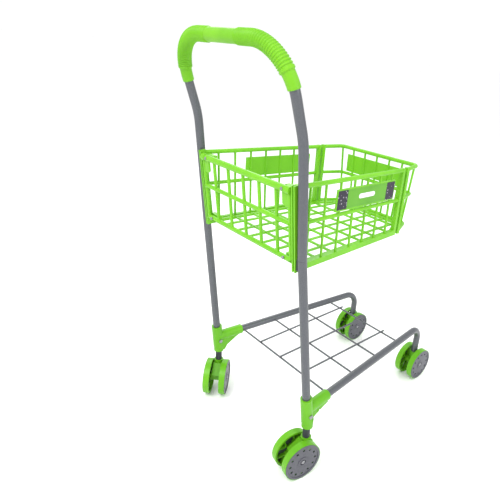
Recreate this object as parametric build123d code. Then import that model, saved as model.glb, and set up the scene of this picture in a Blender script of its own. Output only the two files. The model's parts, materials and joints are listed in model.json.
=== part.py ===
from build123d import *
import math
import os

# Child's shopping cart: two leaning steel uprights with a U-shaped push handle, a plastic
# basket between them, a low wire shelf, two swivel casters behind and two fixed wheel pairs
# in front. Millimetres. x runs forward, y to the cart's left, z up, floor at z = 0.
# The cart is drawn with x = 0 where an upright leaves its corner connector, then every
# piece is moved so that the origin is under the middle of the bounding box.

# ---- fits ----
RUN_GAP = 0.05  # radial clearance of a turning pair
SEAT_GAP = 0.1  # radial clearance of a seated pair
FACE_GAP = 0.4  # between faces that slide past each other
TRIM_GAP = 0.3  # between panels that only meet

# ---- steel tube frame ----
TUBE_OD = 12.5
TUBE_WALL = 0.9
TRACK_HALF = 120.0  # upright to middle plane at the connector's top
CONNECTOR_TOP = 135.5
JOINT_Z = 366.0  # where the handle tube plugs into the lower upright
LEAN_LOW = 0.122  # backward run per mm of height, lower upright
LEAN_TOP = 0.097  # the same above the joint
TOE_LOW = 0.0286  # inward run per mm of height, lower upright
SPIGOT_LENGTH = 24.0
HANDLE_BEND_Z = 515.0  # where the legs bend further back
HANDLE_TOP_Z = 622.0
HANDLE_TOP_X = -78.0
HANDLE_BEND_R = 130.0
HANDLE_CORNER_R = 60.0

# ---- handle grips ----
GRIP_RIB_OD = 19.4
GRIP_SMOOTH_OD = 17.2
GRIP_CUFF_OD = 15.6
GRIP_MIDDLE_HALF = 31.0
GRIP_RIB_END_Z = 592.5
GRIP_CUFF_END_Z = 574.5
LEFT_GRIP_REACH = 13.5  # how much further down its leg the left grip reaches

# ---- shelf tubes and wires ----
SHELF_Z = 113.5
SHELF_TAPER = 0.098  # inward run per mm forward
SHELF_START_X = 12.0
FRONT_LEG_X = 349.0
SHELF_BEND_R = 28.0
WIRE_D = 3.2
CROSS_WIRE_X = (54.0, 125.0, 196.0, 267.0)
LONG_WIRE_PITCH = 55.0
WIRE_SINK = 1.2  # how far a wire's end is welded into the tube's flank
LONG_WIRE_OVERHANG = 4.0

# ---- corner connectors ----
COLLAR_OD = 18.2
CONNECTOR_BOTTOM = 81.0
ARM_OD = 17.6
ARM_END_X = 51.0
GUSSET_T = 9.0
GUSSET_DROP = 30.0
SOCKET_DEPTH = 10.0
RIVET_D = 4.0
RIVET_HEAD_D = 6.4
RIVET_HEAD_T = 1.4
RIVET_Z = 105.5

# ---- wheels ----
WHEEL_R = 32.0
PAIR_HALF = 20.0  # half the width over both wheels of a pair
WHEEL_W = 11.0
DISC_T = 2.6
DISC_R = 31.0
DISC_HOLES = 12
DISC_HOLE_D = 4.2
DISC_HOLE_R = 22.5
DISC_BOSS_R = 9.0
RIM_T = 3.2
LIP_IN = 0.5  # tyre's edge inside the disc's face
HUB_R = 6.2
SPOKES = 5
SPOKE_T = 1.8
SPOKE_FORK_R = 15.0
SPOKE_SPLIT = 20.0  # half angle between the two tips of a Y spoke, degrees
AXLE_D = 5.0
AXLE_CAP_D = 6.2
CAP_POCKET_D = 9.6
AXLE_CAP_T = 1.0
CAP_RECESS = 1.6

# ---- rear casters ----
CASTER_TRAIL = 15.5
STEM_D = 11.6
PIN_D = 7.0
STEM_BOTTOM = 61.0
PIN_BOTTOM = 42.5
FORK_COLLAR_OD = 16.4
FORK_COLLAR_BOTTOM = 47.0
CHEEK_T = 2.8
CHEEK_OUT = 8.0  # outer face of a cheek from the caster's middle
CHEEK_R = 9.0
LEFT_YAW = 45.0  # the left caster stands turned
RIGHT_YAW = -9.0

# ---- front housings ----
HOUSING_TOP = 55.0
HOUSING_OD = 16.4
HOUSING_R = 8.5
LEG_BOTTOM = 41.0

# ---- basket ----
BASKET_TOP = 461.0  # rail heights at the rear
BASKET_MID = 412.0
BASKET_LOW = 350.5
TOP_DROP = 6.0  # how much lower the rails are at the front post
MID_DROP = 4.5
LOW_RISE = 3.0
BACK_X_LOW = -31.0  # rear panel's plane at BASKET_LOW
BACK_LEAN = 0.115
SIDE_HALF_BACK = 103.2
SIDE_TAPER = 0.0485
POST_X = 200.0
NOSE_X = 244.0
NOSE_HALF_TOP = 82.0
NOSE_HALF_LOW = 74.0
TOP_RAIL_D = 6.6
MID_RAIL_D = 5.8
LOW_RAIL_H = 8.4
LOW_RAIL_T = 6.4
SIDE_BAR_D = 3.6
SIDE_BARS = 7
SIDE_BAR_FIRST = -14.0
SIDE_BAR_PITCH = 29.7
SIDE_BAR_LEAN = 3.5  # a bar's foot stands forward of its head
STILE_T = 6.4
STILE_W = 10.0
STILE_AHEAD = 3.0  # rear stile forward of the rear panel's plane
POST_W = 5.6
PLATE_T = 2.2
PLATE_BELOW_TOP = 12.2
PLATE_H = 31.0
PLATE_PAST_BAR = 8.0
PLATE_FIRST_BAR = 2
REAR_TOP_D = 9.2
REAR_TOP_Z = 456.0
REAR_MID_D = 6.4
REAR_BAR_D = 4.8
REAR_BARS = 5
REAR_BAR_PITCH = 35.0
REAR_LOW_Z = 361.0
REAR_HALF = 98.8
REAR_STILE_D = 5.2
TAB_LOW_Z = 434.0
TAB_W = 13.0
TAB_T = 3.2
TAB_CORNER = 3.0
PEG_UP_Z = 425.0
BOSS_D = 10.6
BOSS_L = 8.0
FRONT_BARS = 5
FRONT_BAR_PITCH = 27.0
FRONT_PLATE_HALF = 67.0
FRONT_CORNER_R = 9.0
PEG_D = 3.0
PEG_L = 2.6
SCREW_D = 2.6
SCREW_HEAD_D = 4.6
SCREW_HEAD_T = 1.6
SCREW_L = 12.0
LUG = 7.0
LUG_L = 20.0
SCREW_IN = 15.0
PAD_W = 9.0  # pad between basket and upright
PAD_H = 15.0

# ---- basket floor ----
FLOOR_Z = 352.0
FLOOR_T = 4.0
FLOOR_EDGE = 6.0
FLOOR_BAR = 3.0
FLOOR_CELLS = 7
FLOOR_CROSS_FIRST = 15.4
FLOOR_CROSS_PITCH = 34.4
FLOOR_CROSS = 7

# ---- label ----
LABEL_T = 0.4
LABEL_MARGIN = 1.8

SIDES = {"left": 1, "right": -1}
TUBE_R = TUBE_OD / 2
BORE_R = TUBE_R - TUBE_WALL


# ---- where things are ----
def upright_point(z, side):
    """Middle of an upright at height z."""
    joint_x = -LEAN_LOW * (JOINT_Z - CONNECTOR_TOP)
    joint_y = TRACK_HALF - TOE_LOW * (JOINT_Z - CONNECTOR_TOP)
    if z <= JOINT_Z:
        x = -LEAN_LOW * (z - CONNECTOR_TOP)
        y = TRACK_HALF - TOE_LOW * (z - CONNECTOR_TOP)
    else:
        x = joint_x - LEAN_TOP * (z - JOINT_Z)
        y = joint_y
    return Vector(x, side * y, z)


def shelf_y(x):
    """Distance of a shelf tube's middle from the cart's middle plane."""
    return TRACK_HALF - SHELF_TAPER * x


def back_x(z):
    """The rear panel's plane at height z."""
    return BACK_X_LOW - BACK_LEAN * (z - BASKET_LOW)


def forward_share(x):
    """0 at the rear panel, 1 at the front posts."""
    return (x - BACK_X_LOW) / (POST_X - BACK_X_LOW)


def top_z(x):
    return BASKET_TOP - TOP_DROP * forward_share(x)


def mid_z(x):
    return BASKET_MID - MID_DROP * forward_share(x)


def low_z(x):
    return BASKET_LOW + LOW_RISE * forward_share(x)


def plate_z(x):
    """Middle of a solid plate under the top rail."""
    return top_z(x) - PLATE_BELOW_TOP - PLATE_H / 2


def side_y(x):
    """Distance of a side panel's middle from the cart's middle plane."""
    return SIDE_HALF_BACK - SIDE_TAPER * (x - BACK_X_LOW)


def stem_point(side):
    """Swivel axis of a rear caster on the floor: under the connector's socket."""
    at = upright_point(CONNECTOR_BOTTOM, side)
    return Vector(at.X, at.Y, 0)


def axle_frame(name):
    """Frame of a wheel pair: origin on the axle's middle, y along the axle, z up."""
    end, hand = name.split("_")
    side = SIDES[hand]
    if end == "front":
        return Pos(FRONT_LEG_X, side * shelf_y(FRONT_LEG_X), WHEEL_R)
    yaw = LEFT_YAW if side > 0 else RIGHT_YAW
    stem = stem_point(side)
    return Pos(stem.X, stem.Y, WHEEL_R) * Rot(0, 0, yaw) * Pos(-CASTER_TRAIL, 0, 0)


# ---- helpers ----
def rod(a, b, diameter):
    """Round bar from a to b."""
    a, b = Vector(*a), Vector(*b)
    bar = Cylinder(diameter / 2, (b - a).length, align=(Align.CENTER, Align.CENTER, Align.MIN))
    return Plane(origin=a, z_dir=b - a) * bar


def slat(a, b, wide, deep, across):
    """Rectangular bar from a to b; wide is measured along across."""
    a, b = Vector(*a), Vector(*b)
    bar = Box(wide, deep, (b - a).length, align=(Align.CENTER, Align.CENTER, Align.MIN))
    return Plane(origin=a, x_dir=Vector(*across), z_dir=b - a) * bar


def ball(at, diameter):
    return Pos(*at) * Sphere(diameter / 2)


def pipe(path, outer, inner):
    """Round tube along a path."""
    ring = Circle(outer)
    if inner:
        ring = ring - Circle(inner)
    return sweep(Plane(origin=path @ 0, z_dir=path % 0) * ring, path)


def y_cylinder(radius, y_low, y_high):
    """Cylinder along y between two distances."""
    bar = Cylinder(radius, y_high - y_low, align=(Align.CENTER, Align.CENTER, Align.MIN))
    return Plane(origin=(0, y_low, 0), x_dir=(1, 0, 0), z_dir=(0, 1, 0)) * bar


def mirrored(shape):
    return mirror(shape, about=Plane.XZ)


# ---- steel frame ----
def handle_centre_line():
    """The U of the handle, from the right joint over the top to the left joint."""
    points = []
    for side in (-1, 1):
        leg = [
            upright_point(JOINT_Z + TRIM_GAP, side),
            upright_point(HANDLE_BEND_Z, side),
            leg_point(HANDLE_TOP_Z, side),
        ]
        points += leg if side < 0 else leg[::-1]
    radii = [HANDLE_BEND_R, HANDLE_CORNER_R]
    return FilletPolyline(*points, radius=radii + radii[::-1])


def handle_tube():
    """One bent tube with a swaged spigot on each end that plugs into the lower upright."""
    tube = pipe(handle_centre_line(), TUBE_R, BORE_R)
    spigot_r = BORE_R - SEAT_GAP
    for side in SIDES.values():
        top = upright_point(JOINT_Z, side)
        down = (upright_point(JOINT_Z - 1, side) - top).normalized()
        neck = rod(top - down * 6, top + down * SPIGOT_LENGTH, 2 * spigot_r)
        bore = rod(top - down * 8, top + down * (SPIGOT_LENGTH + 1), 2 * (spigot_r - TUBE_WALL))
        plug = rod(top - down * 6, top, 2 * BORE_R)
        tube += (neck + plug) - bore
    return tube


def lower_upright(side):
    foot = upright_point(CONNECTOR_BOTTOM + SOCKET_DEPTH + 1, side)
    head = upright_point(JOINT_Z, side)
    return rod(foot, head, TUBE_OD) - rod(foot, head, 2 * BORE_R)


def shelf_tube(side):
    """Runs forward and bends down into the front wheel pair."""
    leg_y = side * shelf_y(FRONT_LEG_X)
    path = FilletPolyline(
        (SHELF_START_X, side * shelf_y(SHELF_START_X), SHELF_Z),
        (FRONT_LEG_X, leg_y, SHELF_Z),
        (FRONT_LEG_X, leg_y, LEG_BOTTOM),
        radius=SHELF_BEND_R,
    )
    return pipe(path, TUBE_R, BORE_R)


def cross_wire(x):
    reach = shelf_y(x) - TUBE_R + WIRE_SINK
    wire = rod((x, -reach, SHELF_Z), (x, reach, SHELF_Z), WIRE_D)
    for side in SIDES.values():
        y = side * shelf_y(x)
        flank = rod((x - 20, y + side * SHELF_TAPER * 20, SHELF_Z),
                    (x + 20, y - side * SHELF_TAPER * 20, SHELF_Z), TUBE_OD)
        wire -= flank
    return wire


def long_wires():
    """Three wires lying on the cross wires."""
    low = CROSS_WIRE_X[0] - LONG_WIRE_OVERHANG
    high = CROSS_WIRE_X[-1] + LONG_WIRE_OVERHANG
    z = SHELF_Z + WIRE_D
    rows = [rod((low, y, z), (high, y, z), WIRE_D)
            for y in (-LONG_WIRE_PITCH, 0, LONG_WIRE_PITCH)]
    return Compound(children=rows)


# ---- handle grips ----
def leg_point(z, side):
    """Point on the straight line of a handle leg above its bend."""
    bend = upright_point(HANDLE_BEND_Z, side)
    share = (z - HANDLE_BEND_Z) / (HANDLE_TOP_Z - HANDLE_BEND_Z)
    return Vector(bend.X + share * (HANDLE_TOP_X - bend.X), bend.Y, z)


def block_from(z, side, upward):
    """Large block that starts square to a handle leg at height z."""
    along = (leg_point(z + 1, side) - leg_point(z, side)).normalized()
    block = Box(3 * TRACK_HALF, 3 * TRACK_HALF, 200, align=(Align.CENTER, Align.CENTER, Align.MIN))
    return Plane(origin=leg_point(z, side), z_dir=along if upward else -along) * block


def bent_grip(side):
    """Soft sleeve round a corner of the handle, with a smooth cuff at its foot."""
    reach = LEFT_GRIP_REACH if side > 0 else 0.0
    rib_end, cuff_end = GRIP_RIB_END_Z - reach, GRIP_CUFF_END_Z - reach
    start = leg_point(HANDLE_TOP_Z - HANDLE_CORNER_R - 2, side)
    corner = leg_point(HANDLE_TOP_Z, side)
    inner = Vector(HANDLE_TOP_X, side * (GRIP_MIDDLE_HALF + TRIM_GAP), HANDLE_TOP_Z)
    path = FilletPolyline(start, corner, inner, radius=HANDLE_CORNER_R)
    bore = TUBE_R + SEAT_GAP
    ribbed = pipe(path, GRIP_RIB_OD / 2, bore) - block_from(rib_end, side, False)
    cuff = pipe(path, GRIP_CUFF_OD / 2, bore) - block_from(cuff_end, side, False)
    return ribbed + (cuff - block_from(rib_end + 1, side, True))


def middle_grip():
    path = Line((HANDLE_TOP_X, -GRIP_MIDDLE_HALF, HANDLE_TOP_Z),
                (HANDLE_TOP_X, GRIP_MIDDLE_HALF, HANDLE_TOP_Z))
    return pipe(path, GRIP_SMOOTH_OD / 2, TUBE_R + SEAT_GAP)


# ---- corner connectors ----
def connector(side):
    """Collar on the upright, arm on the shelf tube, gusset between, caster socket below."""
    top = upright_point(CONNECTOR_TOP, side)
    turn = upright_point(CONNECTOR_BOTTOM + SOCKET_DEPTH, side)
    stem = stem_point(side)
    collar = rod(turn, top, COLLAR_OD)
    foot = rod((stem.X, stem.Y, CONNECTOR_BOTTOM), (stem.X, stem.Y, turn.Z + 4), COLLAR_OD)
    root_x = upright_point(SHELF_Z, side).X
    arm_root = (root_x, side * shelf_y(root_x), SHELF_Z)
    arm_end = (ARM_END_X, side * shelf_y(ARM_END_X), SHELF_Z)
    arm = rod(arm_root, arm_end, ARM_OD)
    y = side * shelf_y(ARM_END_X / 2)
    rib = Plane(origin=(0, y, 0), x_dir=(1, 0, 0), z_dir=(0, -1, 0)) * make_face(
        Polyline((root_x, SHELF_Z), (ARM_END_X - 2, SHELF_Z - ARM_OD / 2 + 1),
                 (ARM_END_X - 14, SHELF_Z - 13), (stem.X + COLLAR_OD / 2 + 4, SHELF_Z - 22),
                 (stem.X + COLLAR_OD / 2 - 1, SHELF_Z - GUSSET_DROP), (stem.X, SHELF_Z - GUSSET_DROP),
                 (root_x, SHELF_Z)))
    gusset = extrude(rib, amount=GUSSET_T / 2, both=True)
    body = collar + foot + arm + gusset
    pocket = Pos(ARM_END_X * 0.55, y + side * GUSSET_T / 2, SHELF_Z - 12.5)
    body -= pocket * Rot(0, 35, 0) * scale(Sphere(1), (7, 1.6, 2.2))
    low = upright_point(CONNECTOR_BOTTOM + SOCKET_DEPTH + 1, side)
    body -= rod(low, top + (top - turn).normalized() * 5, TUBE_OD + 2 * SEAT_GAP)
    body -= rod((SHELF_START_X, side * shelf_y(SHELF_START_X), SHELF_Z),
                (ARM_END_X + 5, side * shelf_y(ARM_END_X + 5), SHELF_Z), TUBE_OD + 2 * SEAT_GAP)
    body -= rod((stem.X, stem.Y, CONNECTOR_BOTTOM - 1),
                (stem.X, stem.Y, CONNECTOR_BOTTOM + SOCKET_DEPTH), STEM_D + 2 * SEAT_GAP)
    return body - rivet_hole(side)


def rivet_hole(side):
    at = upright_point(RIVET_Z, side)
    reach = COLLAR_OD / 2 + 2
    return rod((at.X, at.Y - reach, at.Z), (at.X, at.Y + reach, at.Z), RIVET_D + 2 * SEAT_GAP)


def rivet(side):
    """Tubular rivet through collar and upright, with a domed head on both faces."""
    at = upright_point(RIVET_Z, side)
    half = COLLAR_OD / 2 + SEAT_GAP
    shank = rod((at.X, at.Y - half, at.Z), (at.X, at.Y + half, at.Z), RIVET_D)
    for end in (-1, 1):
        seat = at.Y + end * half
        shank += rod((at.X, seat, at.Z), (at.X, seat + end * RIVET_HEAD_T, at.Z), RIVET_HEAD_D)
    return shank


# ---- wheels, in the frame of their pair ----
def wheel(end):
    """Tyre ring, hub and Y-shaped spokes, open on the inner side; end is -1 or 1 along the axle."""
    inner, outer = PAIR_HALF - WHEEL_W, PAIR_HALF - DISC_T
    tyre = y_cylinder(WHEEL_R, inner, outer) - y_cylinder(WHEEL_R - RIM_T, inner - 1, outer + 1)
    lip = y_cylinder(WHEEL_R, outer, PAIR_HALF - LIP_IN) - y_cylinder(DISC_R + SEAT_GAP, outer - 1, PAIR_HALF)
    hub = y_cylinder(HUB_R, inner, outer)
    parts = [lip, hub]
    depth = outer - inner - 2.4
    for k in range(SPOKES):
        turn = 360 / SPOKES * k
        stalk = Pos((HUB_R + SPOKE_FORK_R) / 2, outer - depth / 2, 0)
        parts.append(Rot(0, turn, 0) * stalk * Box(SPOKE_FORK_R - HUB_R + 3, depth, SPOKE_T))
        for sign in (-1, 1):
            tip = math.radians(sign * SPOKE_SPLIT)
            rim = WHEEL_R - RIM_T + 0.8
            end_point = (rim * math.cos(tip), outer - depth / 2, rim * math.sin(tip))
            start = (SPOKE_FORK_R - 0.6, outer - depth / 2, 0)
            parts.append(Rot(0, turn, 0) * slat(start, end_point, depth, SPOKE_T, (0, 1, 0)))
    whole = (tyre + parts) - y_cylinder(AXLE_D / 2 + RUN_GAP, inner - 1, outer + 1)
    return whole if end > 0 else mirrored(whole)


def wheel_disc(end):
    """Grey cover pressed into the wheel's outer face, with a ring of holes and a cap recess."""
    low, high = PAIR_HALF - DISC_T, PAIR_HALF
    disc = y_cylinder(DISC_R, low, high) - y_cylinder(DISC_R - 3.4, high - 0.9, high + 1)
    disc += y_cylinder(DISC_BOSS_R, low, high - 0.2)
    disc -= y_cylinder(CAP_POCKET_D / 2, high - CAP_RECESS, high + 1)
    disc -= y_cylinder(AXLE_D / 2 + RUN_GAP, low - 1, high + 1)
    for k in range(DISC_HOLES):
        hole = Pos(DISC_HOLE_R, 0, 0) * y_cylinder(DISC_HOLE_D / 2, low - 1, high + 1)
        disc -= Rot(0, 360 / DISC_HOLES * k, 0) * hole
    return disc if end > 0 else mirrored(disc)


def axle():
    """Steel pin that both wheels of a pair turn on."""
    reach = PAIR_HALF - CAP_RECESS + FACE_GAP
    return y_cylinder(AXLE_D / 2, -reach, reach)


def axle_caps():
    """Push-on caps that keep the wheels on the axle."""
    low = PAIR_HALF - CAP_RECESS + FACE_GAP
    cap = y_cylinder(AXLE_CAP_D / 2, low, low + AXLE_CAP_T)
    return Compound(children=[cap, mirrored(cap)])


# ---- rear casters, in the frame of their pair (stem axis at x = CASTER_TRAIL) ----
def caster_fork():
    """Collar on the stem's pin, two cheeks and a web, with the axle bore."""
    up = -WHEEL_R
    collar = Pos(CASTER_TRAIL, 0, up) * rod((0, 0, FORK_COLLAR_BOTTOM), (0, 0, STEM_BOTTOM - FACE_GAP),
                                            FORK_COLLAR_OD)
    outline = Plane.XZ * make_face(
        Polyline((CASTER_TRAIL + FORK_COLLAR_OD / 2, STEM_BOTTOM - 6 + up),
                 (CASTER_TRAIL + FORK_COLLAR_OD / 2, FORK_COLLAR_BOTTOM - 4 + up),
                 (CHEEK_R, 0), (-CHEEK_R, 0),
                 (-CHEEK_R - 4, 10), (CASTER_TRAIL - FORK_COLLAR_OD / 2, STEM_BOTTOM - 6 + up),
                 (CASTER_TRAIL + FORK_COLLAR_OD / 2, STEM_BOTTOM - 6 + up)))
    block = extrude(outline, amount=CHEEK_OUT, both=True) + y_cylinder(CHEEK_R, -CHEEK_OUT, CHEEK_OUT)
    hollow = Pos(-1.5, 0, -4) * Box(2 * CHEEK_R + 30, 2 * (CHEEK_OUT - CHEEK_T), 24)
    web = Pos(-CHEEK_R - 1, 0, 3) * Box(3.0, 2 * (CHEEK_OUT - CHEEK_T) + 1, 12)
    body = (block - hollow) + (web & block) + collar
    body -= Pos(CASTER_TRAIL, 0, up) * rod((0, 0, PIN_BOTTOM - FACE_GAP), (0, 0, STEM_BOTTOM + 1),
                                           PIN_D + 2 * RUN_GAP)
    return body - y_cylinder(AXLE_D / 2 + SEAT_GAP, -PAIR_HALF, PAIR_HALF)


def caster_stem(side):
    """Dark stem pressed into the connector, with the thinner pin that the fork turns on."""
    at = stem_point(side)
    top = CONNECTOR_BOTTOM + SOCKET_DEPTH - FACE_GAP
    return (rod((at.X, at.Y, STEM_BOTTOM), (at.X, at.Y, top), STEM_D)
            + rod((at.X, at.Y, PIN_BOTTOM), (at.X, at.Y, STEM_BOTTOM + 1), PIN_D))


# ---- front housings, in the frame of their pair ----
def front_housing():
    """Socket on the foot of the shelf tube, holding the axle."""
    up = -WHEEL_R
    sleeve = rod((0, 0, 0), (0, 0, HOUSING_TOP + up), HOUSING_OD)
    body = sleeve + y_cylinder(HOUSING_R, -HOUSING_OD / 2, HOUSING_OD / 2)
    body += Pos(5.5, 0, 12) * Box(9, 5, 22)
    body -= rod((0, 0, LEG_BOTTOM + up), (0, 0, HOUSING_TOP + up + 1), TUBE_OD + 2 * SEAT_GAP)
    return body - y_cylinder(AXLE_D / 2 + SEAT_GAP, -PAIR_HALF, PAIR_HALF)


# ---- basket ----
def side_line(x_rear, x_front, height, side):
    """Both ends of a line in a side panel; height gives z from x."""
    return (x_rear, side * side_y(x_rear), height(x_rear)), (x_front, side * side_y(x_front), height(x_front))


def plate_ends():
    """Rear and front end of a side plate, a little past its end bars."""
    rear = SIDE_BAR_FIRST + SIDE_BAR_PITCH * PLATE_FIRST_BAR - PLATE_PAST_BAR
    front = SIDE_BAR_FIRST + SIDE_BAR_PITCH * (SIDE_BARS - 1) + PLATE_PAST_BAR
    return rear, front


def rear_stile_of_side(side):
    """Channel-shaped post that follows the upright's lean."""
    low, high = low_z(BACK_X_LOW) - LOW_RAIL_H / 2, top_z(BACK_X_LOW) + TOP_RAIL_D / 2
    across = (1, -side * SIDE_TAPER, 0)

    def at(z, ahead):
        x = back_x(z) + ahead
        return x, side * side_y(x), z

    stile = slat(at(low, STILE_AHEAD), at(high, STILE_AHEAD), STILE_W, STILE_T, across)
    rear_face = STILE_AHEAD - STILE_W / 2
    return stile - slat(at(low - 1, rear_face), at(high + 1, rear_face), 4.4, 2.2, across)


def side_panel(side):
    """Rails, bars, rear stile, front post and the solid plate of one side."""
    front = POST_X - POST_W
    post_x = front - POST_W / 2
    across = (1, -side * SIDE_TAPER, 0)
    parts = [rod(*side_line(back_x(BASKET_TOP), front, top_z, side), TOP_RAIL_D),
             rod(*side_line(back_x(BASKET_MID), front, mid_z, side), MID_RAIL_D),
             slat(*side_line(back_x(BASKET_LOW), front, low_z, side), LOW_RAIL_H, LOW_RAIL_T, (0, 0, 1))]
    y = side * side_y(post_x)
    parts.append(slat((post_x, y, low_z(POST_X) - LOW_RAIL_H / 2), (post_x, y, top_z(POST_X) + TOP_RAIL_D / 2),
                      POST_W, STILE_T, across))
    for k in range(SIDE_BARS):
        x = SIDE_BAR_FIRST + SIDE_BAR_PITCH * k
        foot = x + SIDE_BAR_LEAN
        parts.append(rod((foot, side * side_y(foot), low_z(foot)), (x, side * side_y(x), top_z(x)), SIDE_BAR_D))
    a, b = side_line(*plate_ends(), plate_z, side)
    shift = side * PLATE_T / 2
    plate = slat((a[0], a[1] + shift, a[2]), (b[0], b[1] + shift, b[2]), PLATE_H, PLATE_T, (0, 0, 1))
    lugs = [lug_box(z, side) for z in (REAR_TOP_Z, REAR_LOW_Z)]
    panel = rear_stile_of_side(side) + parts + [plate] + lugs
    for z in (REAR_TOP_Z, REAR_LOW_Z):
        panel -= screw_shank(z, side, 0)
    for hole in rear_pegs(side, SEAT_GAP) + post_pegs(side, SEAT_GAP) + floor_pegs(side, SEAT_GAP):
        panel -= hole
    return panel


def lug_box(z, side):
    """Arm inside the rear stile that a rear panel screw bites into."""
    x = back_x(z) + BOSS_D / 2 + TRIM_GAP + LUG / 2
    outer = side_y(x) - STILE_T / 2 + 0.5
    return Pos(x, side * (outer - LUG_L / 2), z) * Box(LUG, LUG_L, LUG)


def screw_y(z, side):
    return side * (side_y(back_x(z)) - STILE_T / 2 - SCREW_IN)


def screw_shank(z, side, gap):
    x = back_x(z) - REAR_TOP_D / 2
    y = screw_y(z, side)
    return rod((x - 1, y, z), (x + SCREW_L + 2, y, z), SCREW_D + 2 * gap)


def rear_screws():
    """Four screws through the rear panel into the side panels' lugs."""
    screws = []
    for side in SIDES.values():
        for z in (REAR_TOP_Z, REAR_LOW_Z):
            seat = back_x(z) - REAR_TOP_D / 2 + 1.2
            y = screw_y(z, side)
            screws.append(rod((seat, y, z), (seat + SCREW_L - 1, y, z), SCREW_D)
                          + rod((seat - SCREW_HEAD_T, y, z), (seat, y, z), SCREW_HEAD_D))
    return Compound(children=screws)


def rear_pegs(side, gap):
    """Pegs on the ends of the rear panel's rails, or the holes that take them."""
    pegs = []
    for z in (BASKET_MID, PEG_UP_Z):
        x = back_x(z)
        inner = side_y(x) - STILE_T / 2
        pegs.append(rod((x, side * (REAR_HALF - 2), z), (x, side * (inner + PEG_L + gap), z), PEG_D + 2 * gap))
    return pegs


def rear_stile(side):
    """Round end stile with a flat tab under the top rail."""
    y = side * (REAR_HALF - REAR_STILE_D / 2)
    bar = rod((back_x(REAR_LOW_Z), y, REAR_LOW_Z), (back_x(REAR_TOP_Z), y, REAR_TOP_Z), REAR_STILE_D)
    inner = y - side * TAB_W
    tab = Plane(origin=(back_x(TAB_LOW_Z), 0, TAB_LOW_Z), x_dir=(0, 1, 0), z_dir=(1, 0, BACK_LEAN)) * make_face(
        Polyline((y, 0), (inner + side * TAB_CORNER, 0), (inner, TAB_CORNER),
                 (inner, REAR_TOP_Z - TAB_LOW_Z), (y, REAR_TOP_Z - TAB_LOW_Z), (y, 0)))
    return bar + extrude(tab, amount=TAB_T / 2, both=True)


def rear_panel():
    """Thick top rail with round end bosses, mid and low rails, bars and stepped end stiles."""
    def across(z, diameter, half):
        return rod((back_x(z), -half, z), (back_x(z), half, z), diameter)

    reach = REAR_HALF - REAR_STILE_D / 2
    parts = [across(BASKET_MID, REAR_MID_D, reach), across(REAR_LOW_Z, REAR_MID_D, reach)]
    for side in SIDES.values():
        x = back_x(REAR_TOP_Z)
        parts.append(rear_stile(side))
        parts.append(rod((x, side * (REAR_HALF - BOSS_L), REAR_TOP_Z), (x, side * REAR_HALF, REAR_TOP_Z), BOSS_D))
        parts += rear_pegs(side, 0)
    for k in range(REAR_BARS):
        y = REAR_BAR_PITCH * (k - (REAR_BARS - 1) / 2)
        parts.append(rod((back_x(REAR_LOW_Z), y, REAR_LOW_Z), (back_x(REAR_TOP_Z), y, REAR_TOP_Z), REAR_BAR_D))
    panel = across(REAR_TOP_Z, REAR_TOP_D, REAR_HALF - BOSS_L / 2) + parts
    for side in SIDES.values():
        for z in (REAR_TOP_Z, REAR_LOW_Z):
            y = screw_y(z, side)
            seat = back_x(z) - REAR_TOP_D / 2 + 1.2
            panel -= screw_shank(z, side, SEAT_GAP)
            panel -= rod((seat - 6, y, z), (seat, y, z), SCREW_HEAD_D + 2 * SEAT_GAP)
    return panel


def nose_half(z):
    share = (z - low_z(POST_X)) / (top_z(POST_X) - low_z(POST_X))
    return NOSE_HALF_LOW + share * (NOSE_HALF_TOP - NOSE_HALF_LOW)


def front_rail(z, diameter):
    """One U-shaped rail of the nose, from post to post round the front."""
    post_y = side_y(POST_X)
    x = POST_X + POST_W / 2 + TRIM_GAP
    path = FilletPolyline((x, -post_y, z), (NOSE_X, -nose_half(z), z), (NOSE_X, nose_half(z), z),
                          (x, post_y, z), radius=FRONT_CORNER_R)
    return pipe(path, diameter / 2, 0)


def post_pegs(side, gap):
    """Pegs of the front panel that enter the side panel's post, or their holes."""
    low = POST_X - POST_W - PEG_L - gap
    return [rod((low, side * side_y(POST_X), z), (POST_X + 2, side * side_y(POST_X), z), PEG_D + 2 * gap)
            for z in (380.0, 436.0)]


def front_panel():
    """The nose: posts, three U-shaped rails, bars and the solid plate."""
    foot, head = low_z(POST_X), top_z(POST_X)
    low, high = foot - LOW_RAIL_H / 2, head + TOP_RAIL_D / 2
    parts = [front_rail(mid_z(POST_X), MID_RAIL_D), front_rail(foot, LOW_RAIL_H - 1)]
    for side in SIDES.values():
        x = POST_X + TRIM_GAP + POST_W / 2
        parts.append(Pos(x, side * side_y(POST_X), (low + high) / 2) * Box(POST_W, STILE_T, high - low))
        parts += post_pegs(side, 0)
        corner_y = FRONT_CORNER_R * 0.3
        parts.append(rod((NOSE_X - 2.2, side * (NOSE_HALF_LOW - corner_y), foot),
                         (NOSE_X - 2.2, side * (NOSE_HALF_TOP - corner_y), head), SIDE_BAR_D))
    for k in range(FRONT_BARS):
        y = FRONT_BAR_PITCH * (k - (FRONT_BARS - 1) / 2)
        parts.append(rod((NOSE_X, y * NOSE_HALF_LOW / NOSE_HALF_TOP, foot), (NOSE_X, y, head), SIDE_BAR_D))
    parts.append(Pos(NOSE_X + PLATE_T / 2, 0, plate_z(POST_X)) * Box(PLATE_T, 2 * FRONT_PLATE_HALF, PLATE_H))
    return front_rail(head, TOP_RAIL_D) + parts


def floor_pegs(side, gap):
    """Pegs along the floor's edge that snap into the low rails, or their holes."""
    pegs = []
    for x in (10.0, 85.0, 160.0):
        inner = side_y(x) - LOW_RAIL_T / 2
        pegs.append(rod((x, side * (inner - 3), FLOOR_Z), (x, side * (inner + PEG_L + gap), FLOOR_Z),
                        PEG_D + 2 * gap))
    return pegs


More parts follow.
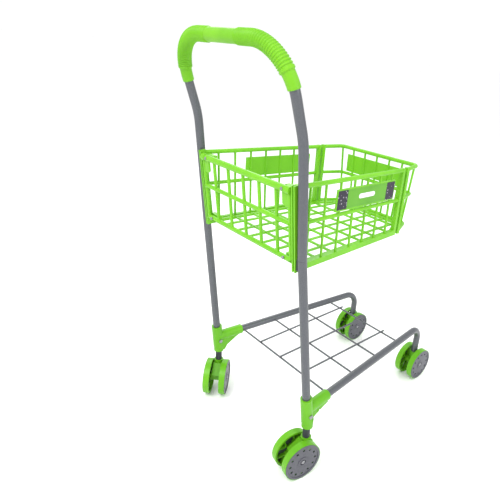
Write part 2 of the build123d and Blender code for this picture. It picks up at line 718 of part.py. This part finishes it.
def floor_outline(inset):
    """Plan of the basket's floor, inset from the panels' inner faces."""
    gap = LOW_RAIL_T / 2 + TRIM_GAP + inset
    back = back_x(FLOOR_Z) + STILE_AHEAD + STILE_W / 2 + TRIM_GAP + inset
    front = POST_X - POST_W - 1
    nose_x = NOSE_X - LOW_RAIL_H / 2 - TRIM_GAP - inset
    nose_y = NOSE_HALF_LOW - 5 - inset
    points = [(back, side_y(back) - gap), (front, side_y(front) - gap), (nose_x, nose_y)]
    points += [(x, -y) for x, y in points[::-1]]
    return make_face(Polyline(*points, points[0]))


def basket_floor():
    """Flat grid with a rim, and pegs into the low rails."""
    z = FLOOR_Z - FLOOR_T / 2
    rim = extrude(Pos(0, 0, z) * (floor_outline(0) - floor_outline(FLOOR_EDGE)), amount=FLOOR_T)
    field = extrude(Pos(0, 0, z) * floor_outline(FLOOR_EDGE - 1), amount=FLOOR_T)
    bars = []
    front_x, rear_x = NOSE_X, back_x(BASKET_LOW)
    for k in range(1, FLOOR_CELLS):
        share = 2 * k / FLOOR_CELLS - 1
        a = (rear_x, share * side_y(rear_x), FLOOR_Z)
        b = (front_x, share * side_y(front_x), FLOOR_Z)
        bars.append(slat(a, b, FLOOR_BAR, FLOOR_BAR, (0, 0, 1)))
    for k in range(FLOOR_CROSS):
        x = FLOOR_CROSS_FIRST + FLOOR_CROSS_PITCH * k
        bars.append(Pos(x, 0, FLOOR_Z) * Box(FLOOR_BAR, 2 * TRACK_HALF, FLOOR_BAR))
    grid = (bars[0] + bars[1:]) & field
    pegs = [peg for side in SIDES.values() for peg in floor_pegs(side, 0)]
    return rim + grid + pegs


def label():
    """Blank printed label on the right panel's plate."""
    side = SIDES["right"]
    rear, front = plate_ends()
    a, b = side_line(rear + LABEL_MARGIN, front - LABEL_MARGIN, plate_z, side)
    shift = side * (PLATE_T + 0.02 + LABEL_T / 2)
    height = PLATE_H - 2 * LABEL_MARGIN
    return slat((a[0], a[1] + shift, a[2]), (b[0], b[1] + shift, b[2]), height, LABEL_T, (0, 0, 1))


def basket_spacer(side):
    """Dark pad between the basket's rear stile and the upright."""
    z = JOINT_Z - 1 - PAD_H / 2
    at = upright_point(z, side)
    inner = side_y(back_x(z)) + STILE_T / 2 + 0.05
    outer = abs(at.Y) - 2.0
    pad = Pos(at.X, side * (inner + outer) / 2, z) * Box(PAD_W, outer - inner, PAD_H)
    return pad - rod(upright_point(z - PAD_H, side), upright_point(JOINT_Z, side), TUBE_OD + 2 * SEAT_GAP)


# ---- assembly ----
def all_nodes():
    nodes = {"handle_tube": handle_tube(), "grip_middle": middle_grip(), "shelf_long_wires": long_wires()}
    for number, x in enumerate(CROSS_WIRE_X, 1):
        nodes[f"shelf_cross_wire_{number}"] = cross_wire(x)
    for hand, side in SIDES.items():
        nodes[f"lower_upright_{hand}"] = lower_upright(side) - rivet_hole(side)
        nodes[f"shelf_tube_{hand}"] = shelf_tube(side)
        nodes[f"grip_{hand}"] = bent_grip(side)
        nodes[f"connector_{hand}"] = connector(side)
        nodes[f"connector_rivet_{hand}"] = rivet(side)
        nodes[f"basket_{hand}_panel"] = side_panel(side)
        nodes[f"basket_spacer_{hand}"] = basket_spacer(side)
        nodes[f"caster_stem_{hand}"] = caster_stem(side)
        nodes[f"caster_fork_{hand}"] = axle_frame(f"rear_{hand}") * caster_fork()
        nodes[f"front_housing_{hand}"] = axle_frame(f"front_{hand}") * front_housing()
    for pair in ("front_left", "front_right", "rear_left", "rear_right"):
        place = axle_frame(pair)
        nodes[f"axle_{pair}"] = place * axle()
        nodes[f"axle_caps_{pair}"] = place * axle_caps()
        for where, end in (("a", 1), ("b", -1)):
            nodes[f"wheel_{pair}_{where}"] = place * wheel(end)
            nodes[f"wheel_disc_{pair}_{where}"] = place * wheel_disc(end)
    nodes["basket_rear_panel"] = rear_panel()
    nodes["basket_front_panel"] = front_panel()
    nodes["basket_floor"] = basket_floor()
    nodes["rear_panel_screws"] = rear_screws()
    nodes["label"] = label()
    return nodes


def pair_half_width(yaw):
    """Half the width in y of a wheel pair that stands turned."""
    turned = math.radians(abs(yaw))
    disc = PAIR_HALF * math.cos(turned) + DISC_R * math.sin(turned)
    tyre = (PAIR_HALF - LIP_IN) * math.cos(turned) + WHEEL_R * math.sin(turned)
    return max(disc, tyre)


def centre_shift():
    """Moves the middle of the bounding box over the origin."""
    low_x = HANDLE_TOP_X - GRIP_RIB_OD / 2
    high_x = FRONT_LEG_X + WHEEL_R
    left = axle_frame("rear_left").position.Y + pair_half_width(LEFT_YAW)
    right = axle_frame("rear_right").position.Y - pair_half_width(RIGHT_YAW)
    return Pos(-(low_x + high_x) / 2, -(left + right) / 2, 0)


if __name__ == "__main__":
    os.makedirs("parts", exist_ok=True)
    shift = centre_shift()
    print("shift", shift.position)
    for name, shape in all_nodes().items():
        export_step(shift * shape, f"parts/{name}.step")
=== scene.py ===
import json
import math
import bpy
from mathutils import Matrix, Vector


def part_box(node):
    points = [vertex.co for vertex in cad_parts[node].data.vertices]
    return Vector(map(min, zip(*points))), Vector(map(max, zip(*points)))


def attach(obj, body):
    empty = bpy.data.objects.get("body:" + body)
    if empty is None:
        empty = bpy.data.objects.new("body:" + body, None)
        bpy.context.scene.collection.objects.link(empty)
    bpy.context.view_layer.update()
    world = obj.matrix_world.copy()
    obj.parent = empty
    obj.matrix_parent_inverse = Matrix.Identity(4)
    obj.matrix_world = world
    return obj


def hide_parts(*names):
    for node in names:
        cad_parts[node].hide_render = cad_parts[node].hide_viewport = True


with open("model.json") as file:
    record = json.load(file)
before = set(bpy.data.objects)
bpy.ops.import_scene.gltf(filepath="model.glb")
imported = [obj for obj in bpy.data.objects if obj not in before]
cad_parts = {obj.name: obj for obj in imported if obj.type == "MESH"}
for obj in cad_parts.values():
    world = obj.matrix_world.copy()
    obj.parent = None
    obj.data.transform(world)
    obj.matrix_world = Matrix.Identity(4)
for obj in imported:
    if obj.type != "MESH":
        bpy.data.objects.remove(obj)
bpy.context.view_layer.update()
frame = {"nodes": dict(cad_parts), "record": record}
nodes = frame["nodes"]

MM = 0.001

# ---- handle, from the frame ----
bar_low, bar_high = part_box("grip_middle")
BAR_X = (bar_low.x + bar_high.x) / 2
BAR_Z = (bar_low.z + bar_high.z) / 2
MIDDLE_Y = (bar_low.y + bar_high.y) / 2
SLEEVE_R = (bar_high.z - bar_low.z) / 2
SLEEVE_HALF = (bar_high.y - bar_low.y) / 2
TUBE_R = 6.25 * MM
LEG_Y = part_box("handle_tube")[1].y - MIDDLE_Y - TUBE_R
LEG_RUN = 35.4 * MM  # the leg's run and rise from its bend to the bar
LEG_RISE = 107.0 * MM
CORNER_R = 60 * MM
RIB_TOP_R = 9.65 * MM
RIB_DEPTH = 1.3 * MM
RIB_PITCH = 3.35 * MM
BAND_LENGTH = 3.2 * MM
CUFF_R = 7.8 * MM
CUFF_LENGTH = 18.9 * MM
RING_STEPS = 48
LIP_LENGTH = 0.5 * MM  # a sleeve's rounded end
LIP_DEPTH = 0.4 * MM
CUFF_FLARE = 0.25 * MM
BAND_RISE = 0.9 * MM
BAND_STEP = 0.15 * MM  # the smooth band under the ribs' tops
RIB_ROUNDNESS = 0.7
SLEEVE_GAP = 0.15 * MM  # between the tube and a sleeve's bore
JOIN_GAP = 0.3 * MM  # between a corner sleeve and the middle one
PATH_STEP = 0.42 * MM
PATH_SPARE = 8 * MM  # straight run below the corner, trimmed back to the cuff's edge
MIDDLE_ROUND = 0.9 * MM
MIDDLE_STEPS = 200


# ---- mesh helpers ----
def mesh_object(name, points, faces, material, smooth=True):
    mesh = bpy.data.meshes.new(name)
    mesh.from_pydata([tuple(p) for p in points], [], faces)
    mesh.validate()
    mesh.update()
    mesh.materials.append(material)
    for polygon in mesh.polygons:
        polygon.use_smooth = smooth
    piece = bpy.data.objects.new(name, mesh)
    bpy.context.scene.collection.objects.link(piece)
    return piece


def filleted_path(corners, radii, step):
    """Points along straight runs joined by arcs, about one step apart."""
    path = [corners[0]]
    for before, at, after, radius in zip(corners, corners[1:], corners[2:], radii):
        into, out = (at - before).normalized(), (after - at).normalized()
        turn = into.angle(out)
        cut = radius * math.tan(turn / 2)
        start = at - into * cut
        run = (start - path[-1]).length
        count = max(1, round(run / step))
        path += [path[-1].lerp(start, k / count) for k in range(1, count + 1)]
        inward = (out - into * into.dot(out)).normalized()
        centre = start + inward * radius
        count = max(2, round(radius * turn / step))
        for k in range(1, count + 1):
            a = turn * k / count
            path.append(centre - inward * radius * math.cos(a) + into * radius * math.sin(a))
    count = max(1, round((corners[-1] - path[-1]).length / step))
    last = path[-1]
    path += [last.lerp(corners[-1], k / count) for k in range(1, count + 1)]
    return path


def trimmed(path, skipped):
    """The path without its first stretch."""
    left = skipped
    for k, (a, b) in enumerate(zip(path, path[1:])):
        run = (b - a).length
        if run > left:
            return [a.lerp(b, left / run)] + path[k + 1:]
        left -= run
    return path


def sleeve(name, path, radius_at, material, bore):
    """Hollow sleeve round a path; radius_at gives the outer radius at a distance along it."""
    along, frames = 0.0, []
    side = Vector((0, 1, 0)) if abs((path[1] - path[0]).normalized().y) < 0.9 else Vector((0, 0, 1))
    for k, at in enumerate(path):
        along += (at - path[max(k - 1, 0)]).length
        tangent = (path[min(k + 1, len(path) - 1)] - path[max(k - 1, 0)]).normalized()
        side = (side - tangent * side.dot(tangent)).normalized()
        frames.append((at, side.copy(), tangent.cross(side), along))
    rings = [(f, radius_at(f[3], along)) for f in frames]
    rings += [(f, bore) for f in [frames[-1], *frames[-5:4:-4], frames[0]]]
    points = []
    for (at, across, up, _), r in rings:
        for j in range(RING_STEPS):
            a = 2 * math.pi * j / RING_STEPS
            points.append(at + (across * math.cos(a) + up * math.sin(a)) * r)
    faces = []
    for k in range(len(rings)):
        a, b = k * RING_STEPS, (k + 1) % len(rings) * RING_STEPS
        for j in range(RING_STEPS):
            n = (j + 1) % RING_STEPS
            faces.append((a + j, a + n, b + n, b + j))
    return mesh_object(name, points, faces, material)


def rounded_plate(name, origin, u, v, n, size, radius, thickness, edge, material):
    """Thin plate with rounded corners and a rounded rim, lying on the plane at origin."""
    half_u, half_v = size[0] / 2, size[1] / 2

    def outline(inset):
        ring = []
        r = max(radius - inset, radius * 0.15)
        for cu, cv, a0 in ((1, 1, 0), (-1, 1, 90), (-1, -1, 180), (1, -1, 270)):
            for k in range(9):
                a = math.radians(a0 + k * 90 / 8)
                x = cu * (half_u - inset - r) + r * math.cos(a)
                y = cv * (half_v - inset - r) + r * math.sin(a)
                ring.append((x, y))
        return ring

    levels = [(0, 0), (0, thickness - edge), (edge * 0.3, thickness - edge * 0.3), (edge, thickness)]
    points, count = [], 36
    for inset, height in levels:
        points += [origin + u * a + v * b + n * height for a, b in outline(inset)]
    faces = []
    for k in range(len(levels) - 1):
        for j in range(count):
            m = (j + 1) % count
            faces.append((k * count + j, k * count + m, (k + 1) * count + m, (k + 1) * count + j))
    faces.append(tuple(range(3 * count, 4 * count)))
    faces.append(tuple(reversed(range(count))))
    return mesh_object(name, points, faces, material, smooth=False)


# ---- materials ----
def new_material(name):
    material = bpy.data.materials.new(name)
    material.use_nodes = True
    tree = material.node_tree
    tree.nodes.clear()
    output = tree.nodes.new("ShaderNodeOutputMaterial")
    shader = tree.nodes.new("ShaderNodeBsdfPrincipled")
    tree.links.new(shader.outputs["BSDF"], output.inputs["Surface"])
    return material, tree, shader


def noise(tree, scale, detail=3.0, stretch=(1, 1, 1)):
    place = tree.nodes.new("ShaderNodeTexCoord")
    mapping = tree.nodes.new("ShaderNodeMapping")
    mapping.inputs["Scale"].default_value = stretch
    texture = tree.nodes.new("ShaderNodeTexNoise")
    texture.inputs["Scale"].default_value = scale
    texture.inputs["Detail"].default_value = detail
    tree.links.new(place.outputs["Object"], mapping.inputs["Vector"])
    tree.links.new(mapping.outputs["Vector"], texture.inputs["Vector"])
    return texture.outputs["Fac"]


def ramp(tree, value, stops):
    node = tree.nodes.new("ShaderNodeValToRGB")
    elements = node.color_ramp.elements
    while len(elements) < len(stops):
        elements.new(0.5)
    for element, (position, colour) in zip(elements, stops):
        element.position = position
        element.color = (*colour, 1)
    tree.links.new(value, node.inputs["Fac"])
    return node.outputs["Color"]


def spread(tree, value, low, high):
    node = tree.nodes.new("ShaderNodeMapRange")
    node.inputs["From Min"].default_value = 0.3
    node.inputs["From Max"].default_value = 0.7
    node.inputs["To Min"].default_value = low
    node.inputs["To Max"].default_value = high
    tree.links.new(value, node.inputs["Value"])
    return node.outputs["Result"]


def bump(tree, value, strength, depth, shader):
    node = tree.nodes.new("ShaderNodeBump")
    node.inputs["Strength"].default_value = strength
    node.inputs["Distance"].default_value = depth
    tree.links.new(value, node.inputs["Height"])
    tree.links.new(node.outputs["Normal"], shader.inputs["Normal"])


def plastic(name, dark, light, roughness, grain=900, coat=0.0, soft=0.0):
    """Moulded plastic: faint flow marks in the colour, fine grain, uneven gloss."""
    material, tree, shader = new_material(name)
    colour = ramp(tree, noise(tree, 22, 4, (1, 1, 0.35)), [(0.3, dark), (0.7, light)])
    tree.links.new(colour, shader.inputs["Base Color"])
    gloss = spread(tree, noise(tree, 140, 4), roughness - 0.06, roughness + 0.08)
    tree.links.new(gloss, shader.inputs["Roughness"])
    bump(tree, noise(tree, grain, 2), 0.18, 0.00012, shader)
    shader.inputs["IOR"].default_value = 1.49
    shader.inputs["Specular IOR Level"].default_value = 0.28
    shader.inputs["Coat Weight"].default_value = coat
    shader.inputs["Coat Roughness"].default_value = 0.25
    if soft:
        shader.inputs["Subsurface Weight"].default_value = soft
        shader.inputs["Subsurface Radius"].default_value = (0.6, 1.0, 0.2)
        shader.inputs["Subsurface Scale"].default_value = 0.002
    return material


def powder_coat(name, dark, light):
    """Grey powder coat with orange peel and fine metallic flecks."""
    material, tree, shader = new_material(name)
    colour = ramp(tree, noise(tree, 3200, 1), [(0.35, dark), (0.72, light)])
    tree.links.new(colour, shader.inputs["Base Color"])
    tree.links.new(spread(tree, noise(tree, 60, 5), 0.34, 0.46), shader.inputs["Roughness"])
    bump(tree, noise(tree, 520, 2), 0.22, 0.00018, shader)
    shader.inputs["Metallic"].default_value = 0.35
    shader.inputs["Coat Weight"].default_value = 0.25
    shader.inputs["Coat Roughness"].default_value = 0.2
    return material


def plated(name, tone):
    """Plated steel with fine turning marks."""
    material, tree, shader = new_material(name)
    low = tuple(c * 0.75 for c in tone)
    colour = ramp(tree, noise(tree, 400, 4, (1, 1, 6)), [(0.3, low), (0.7, tone)])
    tree.links.new(colour, shader.inputs["Base Color"])
    tree.links.new(spread(tree, noise(tree, 900, 3, (1, 1, 8)), 0.22, 0.42), shader.inputs["Roughness"])
    bump(tree, noise(tree, 1800, 2, (1, 1, 10)), 0.15, 0.0001, shader)
    shader.inputs["Metallic"].default_value = 1.0
    return material


def speckled(name, ground, fleck, spacing):
    """Dark print with sparse pale dots."""
    material, tree, shader = new_material(name)
    place = tree.nodes.new("ShaderNodeTexCoord")
    cells = tree.nodes.new("ShaderNodeTexVoronoi")
    cells.inputs["Scale"].default_value = spacing
    tree.links.new(place.outputs["Object"], cells.inputs["Vector"])
    stops = [(0.0, fleck), (0.16, fleck), (0.26, ground), (1.0, ground)]
    tree.links.new(ramp(tree, cells.outputs["Distance"], stops), shader.inputs["Base Color"])
    tree.links.new(spread(tree, noise(tree, 300, 2), 0.3, 0.4), shader.inputs["Roughness"])
    bump(tree, noise(tree, 700, 2), 0.1, 0.0001, shader)
    shader.inputs["Specular IOR Level"].default_value = 0.2
    return material


BASKET = plastic("basket_plastic", (0.138, 0.440, 0.011), (0.182, 0.525, 0.018), 0.38, coat=0.06, soft=0.12)
GRIP = plastic("grip_plastic", (0.132, 0.400, 0.008), (0.172, 0.475, 0.013), 0.46, coat=0.03, soft=0.1)
WHEEL = plastic("wheel_plastic", (0.104, 0.365, 0.007), (0.142, 0.435, 0.012), 0.40, coat=0.06, soft=0.1)
DISC = plastic("disc_plastic", (0.078, 0.079, 0.095), (0.110, 0.111, 0.130), 0.36, coat=0.08)
DARK = plastic("dark_plastic", (0.035, 0.036, 0.046), (0.060, 0.062, 0.075), 0.45)
TUBE = powder_coat("tube_coat", (0.058, 0.063, 0.072), (0.134, 0.141, 0.158))
STEEL = plated("plated_steel", (0.34, 0.34, 0.36))
FILM = plastic("label_green", (0.090, 0.320, 0.014), (0.120, 0.380, 0.020), 0.36, grain=400, coat=0.08)
LINE = plastic("label_line", (0.080, 0.300, 0.020), (0.100, 0.340, 0.028), 0.35, grain=400)
PRINT = speckled("label_dark", (0.034, 0.030, 0.046), (0.42, 0.40, 0.44), 210)
WHITE = plastic("label_white", (0.78, 0.78, 0.80), (0.86, 0.86, 0.88), 0.3, grain=400, coat=0.3)

BY_SLOT = {"tube_grey": TUBE, "basket_green": BASKET, "grip_green": GRIP, "wheel_green": WHEEL,
           "disc_grey": DISC, "dark_plastic": DARK, "bright_steel": STEEL, "label_print": FILM}
for row in frame["record"]["subparts"]:
    looks = BY_SLOT[row["material_slot"]]
    thing = nodes[row["node"]]
    thing.data.materials.clear()
    thing.data.materials.append(looks)


# ---- ribbed grips ----
def ribbed(s, total):
    """Outer radius of the sleeve: cuff, smooth band, ribs, rounded far end."""
    if s < LIP_LENGTH:
        return CUFF_R - LIP_DEPTH
    if s < CUFF_LENGTH:
        return CUFF_R + CUFF_FLARE * s / CUFF_LENGTH
    into = s - CUFF_LENGTH
    if into < BAND_LENGTH:
        rise = math.sin(min(1.0, into / BAND_RISE) * math.pi / 2)
        return CUFF_R + CUFF_FLARE + (RIB_TOP_R - BAND_STEP - CUFF_R - CUFF_FLARE) * rise
    if total - s < LIP_LENGTH:
        return RIB_TOP_R - RIB_DEPTH
    phase = (into - BAND_LENGTH) / RIB_PITCH
    wave = 0.5 + 0.5 * math.cos(2 * math.pi * phase)
    return RIB_TOP_R - RIB_DEPTH + RIB_DEPTH * wave ** RIB_ROUNDNESS


def grip(hand, sign):
    corner = Vector((BAR_X, MIDDLE_Y + sign * LEG_Y, BAR_Z))
    leg = Vector((LEG_RUN, 0, -LEG_RISE)).normalized()
    drop = BAR_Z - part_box(f"grip_{hand}")[0].z - CUFF_R * leg.x
    start = corner + leg * (CORNER_R + PATH_SPARE)
    end = Vector((BAR_X, MIDDLE_Y + sign * (SLEEVE_HALF + JOIN_GAP), BAR_Z))
    path = filleted_path([start, corner, end], [CORNER_R], PATH_STEP)
    path = trimmed(path, (start - corner).length + drop / leg.z)
    piece = sleeve(f"grip_sleeve_{hand}", path, ribbed, GRIP, TUBE_R + SLEEVE_GAP)
    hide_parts(f"grip_{hand}")
    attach(piece, "cart_frame")


def middle_radius(s, total):
    """Outer radius of the middle sleeve: plain, with rounded ends."""
    edge = min(s, total - s)
    if edge < MIDDLE_ROUND:
        sunk = 1 - math.sqrt(1 - (1 - edge / MIDDLE_ROUND) ** 2)
        return SLEEVE_R - MIDDLE_ROUND * sunk * 0.8
    return SLEEVE_R


def middle_sleeve():
    ends = [Vector((BAR_X, MIDDLE_Y + s * SLEEVE_HALF, BAR_Z)) for s in (-1, 1)]
    path = [ends[0].lerp(ends[1], k / MIDDLE_STEPS) for k in range(MIDDLE_STEPS + 1)]
    piece = sleeve("grip_middle_sleeve", path, middle_radius, GRIP, TUBE_R + SLEEVE_GAP)
    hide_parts("grip_middle")
    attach(piece, "cart_frame")


grip("left", 1)
grip("right", -1)
middle_sleeve()


# ---- label ----
LABEL_FALL = 0.026  # the plate's downward slope towards the front
LABEL_T = 0.4 * MM  # the label's thickness in the frame
FILM_T = 0.28 * MM
PRINT_LIFT = 0.2801 * MM  # print starts just over the film's face
PRINT_T = 0.09 * MM
PRINT_EDGE = 0.03 * MM
DARK_WIDTH = 20.5 * MM
LABEL_MARGIN = 0.2 * MM
LINE_HEIGHT = 0.5 * MM
LINE_INSET = 2.6 * MM
OVAL = (37 * MM, 7.0 * MM)
OVAL_SHIFT = (-1.5 * MM, 1.0 * MM)


def label():
    """Printed film: green middle with thin border lines, dark ends, blank white oval."""
    low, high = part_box("label")
    slope = (high.y - low.y - LABEL_T) / (high.x - low.x)
    u = Vector((1, slope, -LABEL_FALL)).normalized()
    n = Vector((u.y, -u.x, 0)).normalized()
    v = n.cross(u)
    centre = (low + high) / 2 - n * LABEL_T / 2
    length = (high.x - low.x) / u.x
    height = high.z - low.z - LABEL_FALL * length
    face = centre + n * PRINT_LIFT

    def plate(name, at, size, radius, thickness, edge, material):
        return rounded_plate(name, at, u, v, n, size, radius, thickness, edge, material)

    pieces = [plate("label_film", centre, (length, height), 1.5 * MM, FILM_T, 0.08 * MM, FILM)]
    dark = (DARK_WIDTH, height - 2 * LABEL_MARGIN)
    for where, sign in (("rear", -1), ("front", 1)):
        at = face + u * sign * (length / 2 - DARK_WIDTH / 2 - LABEL_MARGIN)
        pieces.append(plate(f"label_dark_{where}", at, dark, 1.2 * MM, PRINT_T, PRINT_EDGE, PRINT))
    line = (length - 2 * DARK_WIDTH - 5 * MM, LINE_HEIGHT)
    for where, sign in (("low", -1), ("high", 1)):
        at = face + v * sign * (height / 2 - LINE_INSET)
        pieces.append(plate(f"label_line_{where}", at, line, 0.2 * MM, 0.05 * MM, 0.02 * MM, LINE))
    oval = face + u * OVAL_SHIFT[0] + v * OVAL_SHIFT[1]
    pieces.append(plate("label_oval", oval, OVAL, 3.4 * MM, PRINT_T, PRINT_EDGE, WHITE))
    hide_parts("label")
    for piece in pieces:
        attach(piece, "cart_frame")


label()


# ---- studio ----
FLOOR_HALF = 60.0
FLOOR_Z = -0.4 * MM


def studio():
    material, tree, shader = new_material("floor_paper")
    tree.links.new(ramp(tree, noise(tree, 6, 3), [(0.3, (0.97, 0.97, 0.97)), (0.7, (0.99, 0.99, 0.99))]),
                   shader.inputs["Base Color"])
    shader.inputs["Roughness"].default_value = 0.9
    shader.inputs["Specular IOR Level"].default_value = 0.1
    corners = [(a * FLOOR_HALF, b * FLOOR_HALF, FLOOR_Z) for a, b in ((-1, -1), (1, -1), (1, 1), (-1, 1))]
    floor = mesh_object("floor", corners, [(0, 1, 2, 3)], material, smooth=False)
    world = bpy.data.worlds.new("studio")
    world.use_nodes = True
    world.node_tree.nodes["Background"].inputs["Color"].default_value = (1, 1, 1, 1)
    world.node_tree.nodes["Background"].inputs["Strength"].default_value = 1.03
    bpy.context.scene.world = world


def lamp(name, at, target, size, watts):
    data = bpy.data.lights.new(name, "AREA")
    data.shape = "DISK"
    data.size = size
    data.energy = watts
    light = bpy.data.objects.new(name, data)
    light.location = at
    light.rotation_euler = (Vector(target) - Vector(at)).to_track_quat("-Z", "Y").to_euler()
    bpy.context.scene.collection.objects.link(light)


def camera():
    data = bpy.data.cameras.new("camera")
    data.sensor_width = 36
    data.lens = 33.97
    data.shift_x = -0.10
    data.shift_y = -0.02
    data.clip_start = 0.02
    eye = bpy.data.objects.new("camera", data)
    eye.location = (-0.5604, -0.5036, 0.6151)
    eye.rotation_euler = [math.radians(a) for a in (67.896, -4.666, -42.348)]
    bpy.context.scene.collection.objects.link(eye)
    bpy.context.scene.camera = eye


studio()
lamp("key", (-1.3, -0.3, 1.9), (0, 0, 0.3), 1.0, 26)
lamp("fill", (0.4, -1.8, 1.1), (0, 0, 0.3), 1.4, 12)
lamp("back", (0.9, 1.4, 1.6), (0, 0, 0.3), 1.2, 12)
camera()
bpy.context.scene.view_settings.view_transform = "Standard"
